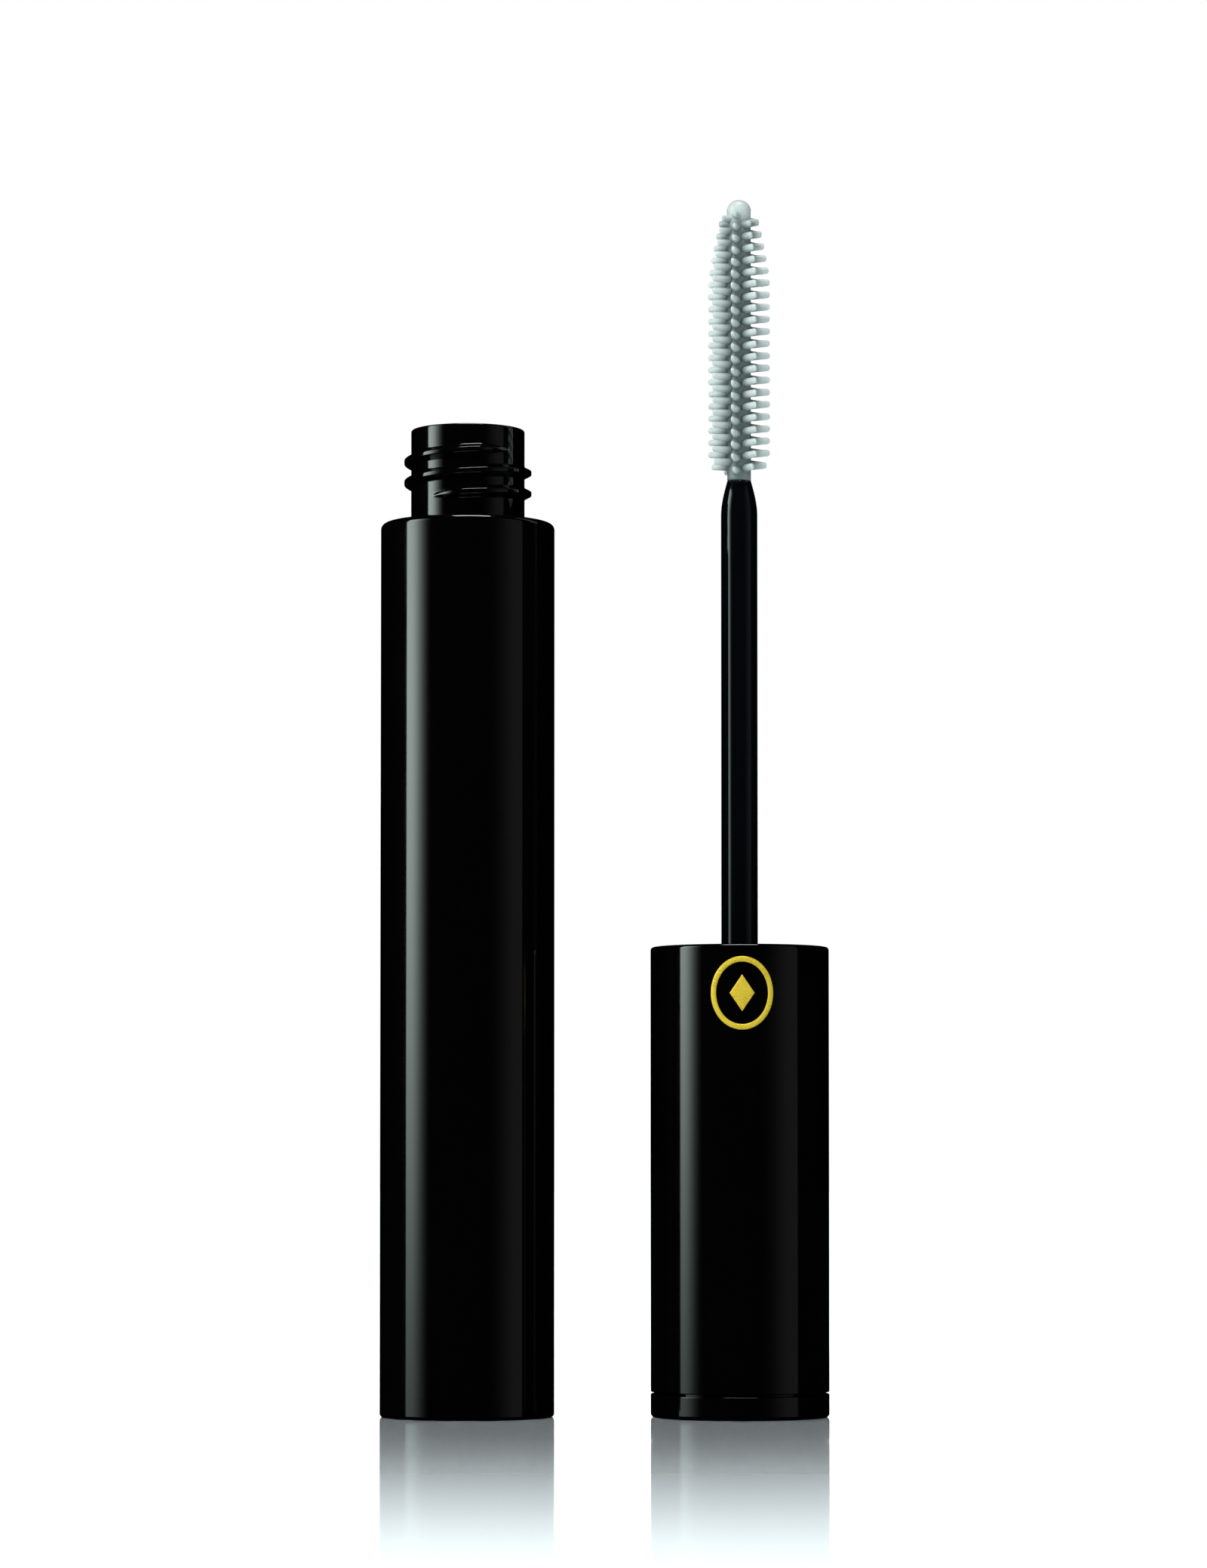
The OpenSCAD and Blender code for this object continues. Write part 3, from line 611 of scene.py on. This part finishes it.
def brush_tree():
    """Wedge teeth on helical ridges round an upright core. The number of ridges, teeth and
    columns, the rise from column to column and the outline are inputs."""
    tree = bpy.data.node_groups.new("brush_teeth", "GeometryNodeTree")
    face = tree.interface
    face.new_socket("Core", in_out="INPUT", socket_type="NodeSocketGeometry")
    wanted = {}
    for label, kind, default in (
            ("Ridges", "NodeSocketInt", 2), ("Teeth a ridge", "NodeSocketInt", 80),
            ("Columns", "NodeSocketInt", 8), ("Rise", "NodeSocketFloat", 0.0003),
            ("First tooth", "NodeSocketFloat", 0.0), ("First angle", "NodeSocketFloat", 0.0),
            ("Tilt", "NodeSocketFloat", 0.2), ("Axis x", "NodeSocketFloat", 0.0),
            ("Core radius", "NodeSocketFloat", 0.001), ("Full radius", "NodeSocketFloat", 0.003),
            ("Base", "NodeSocketFloat", 0.0), ("Tip", "NodeSocketFloat", 0.03),
            ("Lower taper", "NodeSocketFloat", 0.002), ("Upper taper", "NodeSocketFloat", 0.008),
            ("Tip radius", "NodeSocketFloat", 0.001), ("Root width", "NodeSocketFloat", 0.001),
            ("Tip width", "NodeSocketFloat", 0.0003), ("Root height", "NodeSocketFloat", 0.0008),
            ("Tip height", "NodeSocketFloat", 0.0006), ("Finish", "NodeSocketMaterial", None)):
        socket = face.new_socket(label, in_out="INPUT", socket_type=kind)
        if default is not None:
            socket.default_value = default
        wanted[label] = socket.identifier
    face.new_socket("Brush", in_out="OUTPUT", socket_type="NodeSocketGeometry")
    n = Nodes(tree)
    given = tree.nodes.new("NodeGroupInput").outputs
    out = tree.nodes.new("NodeGroupOutput")

    # Where each tooth stands: up one ridge after another, a column further round each time
    index = n.add("GeometryNodeInputIndex").outputs[0]
    ridge = n.math("FLOOR", n.math("DIVIDE", n.math("ADD", index, 0.5), given["Teeth a ridge"]))
    step = n.math("SUBTRACT", index, n.math("MULTIPLY", ridge, given["Teeth a ridge"]))
    turns = n.math("ADD", n.math("DIVIDE", step, given["Columns"]),
                   n.math("DIVIDE", ridge, given["Ridges"]))
    angle = n.math("MULTIPLY_ADD", turns, 2 * math.pi, given["First angle"])
    height = n.math("MULTIPLY_ADD", step, given["Rise"], given["First tooth"])
    root = n.math("MULTIPLY", given["Core radius"], 0.8)
    spot = n.add("ShaderNodeCombineXYZ", {
        0: n.math("MULTIPLY_ADD", n.math("COSINE", angle), root, given["Axis x"]),
        1: n.math("MULTIPLY", n.math("SINE", angle), root), 2: height}).outputs[0]

    # Outline of the brush: a quick swell from the stem, a straight run, a long taper to the tip
    above = n.math("SUBTRACT", height, given["Base"])
    below = n.math("SUBTRACT", given["Tip"], height)
    swell = n.math("SQRT", n.math("DIVIDE", above, given["Lower taper"], clamp=True))
    fall = n.math("POWER", n.math("DIVIDE", below, given["Upper taper"], clamp=True), 0.7)
    low_r, high_r = (
        n.math("MULTIPLY_ADD", share, n.math("SUBTRACT", given["Full radius"], least), least)
        for share, least in ((swell, given["Core radius"]), (fall, given["Tip radius"])))
    reach = n.math("SUBTRACT", n.math("MINIMUM", low_r, high_r), root)
    points = n.add("GeometryNodePoints", {
        "Count": n.math("MULTIPLY", given["Ridges"], given["Teeth a ridge"]), "Position": spot})

    # One tooth of unit length along X: wide at its root, thin across at its rounded tip
    cone = n.add("GeometryNodeMeshCone", {"Vertices": 12, "Side Segments": 8, "Fill Segments": 1,
                                          "Radius Top": 1.0, "Radius Bottom": 1.0, "Depth": 1.0})
    axes = n.add("ShaderNodeSeparateXYZ", {0: n.add("GeometryNodeInputPosition").outputs[0]})
    left = n.math("SUBTRACT", 1.0, axes.outputs[2], clamp=True)
    along = n.math("SUBTRACT", 1.0, n.math("POWER", left, 1.6))
    nose = n.math("DIVIDE", n.math("SUBTRACT", along, 0.9), 0.1, clamp=True)
    end = n.math("SQRT", n.math("SUBTRACT", 1.02, n.math("MULTIPLY", nose, nose)))
    sides = []
    for corner, label in ((0, "width"), (1, "height")):
        whole = n.add("ShaderNodeMix", {0: along, 2: given["Root " + label], 3: given["Tip " + label]})
        part = n.math("MULTIPLY", axes.outputs[corner], whole.outputs[0])
        sides.append(n.math("MULTIPLY", part, n.math("MULTIPLY", end, 0.5)))
    shaped = n.add("ShaderNodeCombineXYZ", {0: along, 1: sides[0], 2: sides[1]}).outputs[0]
    tooth = n.add("GeometryNodeSetPosition", {"Geometry": cone.outputs["Mesh"], "Position": shaped})

    teeth = n.add("GeometryNodeInstanceOnPoints", {
        "Points": points.outputs[0], "Instance": tooth.outputs[0],
        "Rotation": n.add("ShaderNodeCombineXYZ", {0: given["Tilt"], 2: angle}).outputs[0],
        "Scale": n.add("ShaderNodeCombineXYZ", {0: reach, 1: 1.0, 2: 1.0}).outputs[0]})
    real = n.add("GeometryNodeRealizeInstances", {0: teeth.outputs[0]})
    smooth = n.add("GeometryNodeSetShadeSmooth", {"Geometry": real.outputs[0]})
    joined = n.add("GeometryNodeJoinGeometry")
    tree.links.new(smooth.outputs[0], joined.inputs[0])
    tree.links.new(given["Core"], joined.inputs[0])
    named = n.add("GeometryNodeSetMaterial", {"Geometry": joined.outputs[0], "Material": given["Finish"]})
    tree.links.new(named.outputs[0], out.inputs[0])
    return tree, wanted


def make_brush():
    """Moulded brush: core with a domed tip, and its teeth."""
    tip, pin_r, pin_base = 1.25, 0.8, 87
    start = brush_base + 0.05
    dome = [(tip * math.cos(math.radians(a)), brush_tip - tip + tip * math.sin(math.radians(a)))
            for a in (12, 24, 36, 48, 60, 70, 80)] + [(0, brush_tip)]
    shaft = [(0, pin_base), (pin_r, pin_base), (pin_r, start), (core_r, start), (core_r, start + 0.2),
             (core_r, brush_tip - tip - 0.3)]
    core_piece = turned("brush_core", shaft + dome, cap_x, segments=48)
    tree, inputs = brush_tree()
    grow = core_piece.modifiers.new("teeth", "NODES")
    grow.node_group = tree
    first, last, rise = brush_base + 0.9, brush_tip - 1.6, 1.24 / 4
    lengths = {"Rise": rise, "First tooth": first, "Axis x": cap_x, "Core radius": core_r,
               "Full radius": brush_r, "Base": brush_base, "Tip": brush_tip, "Lower taper": 2.2,
               "Upper taper": 8, "Tip radius": tip, "Root width": 1.05, "Tip width": 0.3,
               "Root height": 0.86, "Tip height": 0.62}
    sizes = {"Ridges": 2, "Teeth a ridge": int((last - first) / rise) + 1, "Columns": 8,
             "First angle": math.radians(-104), "Tilt": 0.2, "Finish": brush_pale,
             **{label: mm * MM for label, mm in lengths.items()}}
    for label, value in sizes.items():
        grow[inputs[label]] = value
    view = bpy.context.evaluated_depsgraph_get()
    mesh = bpy.data.meshes.new_from_object(core_piece.evaluated_get(view))
    core_piece.modifiers.clear()
    core_piece.data = mesh
    core_piece.name = "brush_moulding"
    place(core_piece, "wand", "brush", brush_pale)


def dress_cad_nodes():
    """Finishes for the inner pieces that keep their CAD shape."""
    finishes = {
        "chassis_front": chassis_grey, "chassis_back": chassis_grey, "cell_lower": cell_steel,
        "cell_upper": cell_steel, "contact_spring": spring_steel, "contact_plate": contact_brass,
        "switch_board": board_green, "lead_red": lead_red, "lead_black": lead_black,
        "wand_hub": hub_grey, "motor_can": motor_steel, "motor_end_cap": motor_plastic,
        "motor_shaft": shaft_steel, "eccentric_weight": weight_metal}
    for node, finish in finishes.items():
        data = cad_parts[node].data
        data.materials.clear()
        data.materials.append(finish)


make_bottle()
make_wiper()
make_cap_shell()
make_end_button()
make_inner_cap()
make_small_rounds()
make_snap_dome()
make_badge()
make_brush()
dress_cad_nodes()

# ---------------------------------------------------------------- studio


def make_floor():
    """Pale glossy table: it mirrors what stands on it, less and less towards its front."""
    data = bpy.data.meshes.new("table_top")
    half = 4000 * MM
    corners = [(-half, -half, 0), (half, -half, 0), (half, half, 0), (-half, half, 0)]
    data.from_pydata(corners, [], [(0, 1, 2, 3)])
    made = bpy.data.materials.new("table_white")
    made.use_nodes = True
    tree = made.node_tree
    tree.nodes.remove(tree.nodes["Principled BSDF"])
    n = Nodes(tree)
    axes = n.add("ShaderNodeSeparateXYZ", {0: n.add("ShaderNodeTexCoord").outputs["Object"]})
    off = n.math("SUBTRACT", axes.outputs[0], cap_x / 2 * MM)
    away = n.length(off, axes.outputs[1])
    polish = n.spread(away, 20 * MM, 230 * MM, 0.84, 0.06)
    grazing = n.math("MULTIPLY", n.add("ShaderNodeFresnel", {"IOR": 1.5}).outputs[0], 1.4, clamp=True)
    share = n.math("MULTIPLY", grazing, polish)
    mirror = n.add("ShaderNodeBsdfGlossy", {"Color": (0.96, 1.0, 0.985, 1), "Roughness": 0.05})
    matt = n.add("ShaderNodeBsdfDiffuse", {"Color": (0.48, 0.525, 0.54, 1)})
    near = n.spread(away, 90 * MM, 260 * MM, 0.16, 0.5)
    far = n.spread(away, 240 * MM, 480 * MM, 0.16, 1.0)
    behind = n.spread(axes.outputs[1], 20 * MM, 200 * MM, 0.16, 1.0)
    strength = n.math("MAXIMUM", n.math("MAXIMUM", near, far), behind)
    glow = n.add("ShaderNodeEmission", {"Color": (0.86, 0.98, 1.0, 1), "Strength": strength})
    white = n.add("ShaderNodeAddShader", {0: matt.outputs[0], 1: glow.outputs[0]})
    top = n.add("ShaderNodeMixShader", {0: share, 1: white.outputs[0], 2: mirror.outputs[0]})
    tree.links.new(top.outputs[0], tree.nodes["Material Output"].inputs["Surface"])
    data.materials.append(made)
    table_top = bpy.data.objects.new("table_top", data)
    bpy.context.scene.collection.objects.link(table_top)
    table_top.visible_glossy = False    # the black pieces don't mirror it
    return table_top


table = make_floor()


def emitter(name, corners, build, only=None):
    """Glowing stage panel from four corners in mm, seen only in reflections, or only in those of
    one object. build gives its colour and strength from u and v."""
    data = bpy.data.meshes.new(name)
    data.from_pydata([Vector(c) * MM for c in corners], [], [(0, 1, 2, 3)])
    data.uv_layers.new(name="panel")
    for k, uv in enumerate(((0, 0), (1, 0), (1, 1), (0, 1))):
        data.uv_layers[0].data[k].uv = uv
    panel = bpy.data.objects.new(name, data)
    bpy.context.scene.collection.objects.link(panel)
    made = bpy.data.materials.new(name)
    made.use_nodes = True
    tree = made.node_tree
    tree.nodes.remove(tree.nodes["Principled BSDF"])
    n = Nodes(tree)
    uv = n.add("ShaderNodeSeparateXYZ", {0: n.add("ShaderNodeTexCoord").outputs["UV"]})
    colour, strength = build(n, uv.outputs[0], uv.outputs[1])
    glow = n.add("ShaderNodeEmission", {"Color": colour, "Strength": strength})
    tree.links.new(glow.outputs[0], tree.nodes["Material Output"].inputs["Surface"])
    data.materials.append(made)
    panel.visible_camera = False
    panel.visible_diffuse = False
    panel.visible_shadow = False
    if only:
        lit = bpy.data.collections.new(name + "_lights")
        lit.objects.link(only)
        panel.light_linking.receiver_collection = lit


def around(azimuth, distance, z):
    """Point in mm at an azimuth in degrees from straight ahead of the object, positive to the right."""
    a = math.radians(azimuth)
    return (cap_x / 2 + distance * math.sin(a), -distance * math.cos(a), z)


def strip(edge, reach, bottom, top, strength, tint):
    """Panel with a sharp outer edge and a soft inner one, whose brightness goes from bottom to
    top as a share of its strength."""
    def build(n, u, v):
        across = n.spread(u, reach, edge)
        up = n.spread(v, 0.05, 0.42, bottom, top)
        glow = n.math("MULTIPLY", n.math("POWER", across, 2.0), up)
        return tint, n.math("MULTIPLY", glow, strength)
    return build


def wall(n, u, v):
    """Even white, a little dimmer right at the top."""
    return (1.0, 1.0, 1.0, 1), n.spread(v, 1.0, 0.9, 1.4, 1.6)


def panel_corners(first, last):
    """Upright panel between two azimuths, from below the table to well above the brush."""
    a, b = around(first, 500, -60), around(last, 500, -60)
    return [a, b, (*b[:2], 380), (*a[:2], 380)]


# The panels light the table too, which is why its matt part is darker than white
emitter("left_panel", panel_corners(-86, -40),
        strip(0.17, 0.87, 0.15, 1.0, 4.4, (0.84, 1.0, 0.95, 1)))
emitter("right_panel", panel_corners(78, 19), strip(0.2, 1.0, 1.0, 1.0, 0.1, (0.98, 0.98, 1.0, 1)))
WALL_AWAY, WALL_TOP = 4200, 2500
for side in range(8):
    here, there = around(45 * side, WALL_AWAY, 0), around(45 * side + 45, WALL_AWAY, 0)
    emitter(f"wall_{side}", [here, there, (*there[:2], WALL_TOP), (*here[:2], WALL_TOP)], wall, table)


def area_light(name, position, target, size, power, colour=(1, 1, 1)):
    light = bpy.data.lights.new(name, "AREA")
    light.shape = "RECTANGLE"
    light.size, light.size_y = size[0] * MM, size[1] * MM
    light.energy = power
    light.color = colour
    made = bpy.data.objects.new(name, light)
    made.location = Vector(position) * MM
    made.rotation_euler = (Vector(target) - Vector(position)).to_track_quat("-Z", "Y").to_euler()
    bpy.context.scene.collection.objects.link(made)
    return made


area_light("top_light", (25, -60, 520), (14, 0, 60), (220, 100), 0.7)
area_light("key_light", (-330, -420, 520), (20, 0, 80), (240, 240), 3.2).visible_glossy = False

world = bpy.data.worlds.new("studio")
bpy.context.scene.world = world
world.use_nodes = True
sky = Nodes(world.node_tree)
rays = sky.add("ShaderNodeLightPath")
# White behind everything, dimmer as light, and dark where a glossy piece would mirror the room
light = sky.mix(rays.outputs["Is Diffuse Ray"], (1.0, 1.0, 1.0, 1), (0.35, 0.36, 0.36, 1))
shade = sky.mix(rays.outputs["Is Glossy Ray"], light, (0.001, 0.001, 0.001, 1))
world.node_tree.links.new(shade, world.node_tree.nodes["Background"].inputs["Color"])

# ---------------------------------------------------------------- camera

EYE_DISTANCE = 500.0
EYE_HEIGHT = 25.5
LENS = 113.75
SHIFT = 0.12
TILT = 2.21
camera_data = bpy.data.cameras.new("camera")
camera_data.lens = LENS
camera_data.sensor_width = 36
camera_data.shift_y = SHIFT
camera_data.clip_start, camera_data.clip_end = 0.01, 20
camera = bpy.data.objects.new("camera", camera_data)
camera.location = (cap_x / 2 * MM, -EYE_DISTANCE * MM, EYE_HEIGHT * MM)
camera.rotation_euler = (math.radians(90 + TILT), 0, 0)
bpy.context.scene.collection.objects.link(camera)
bpy.context.scene.camera = camera
bpy.context.scene.view_settings.view_transform = "Standard"
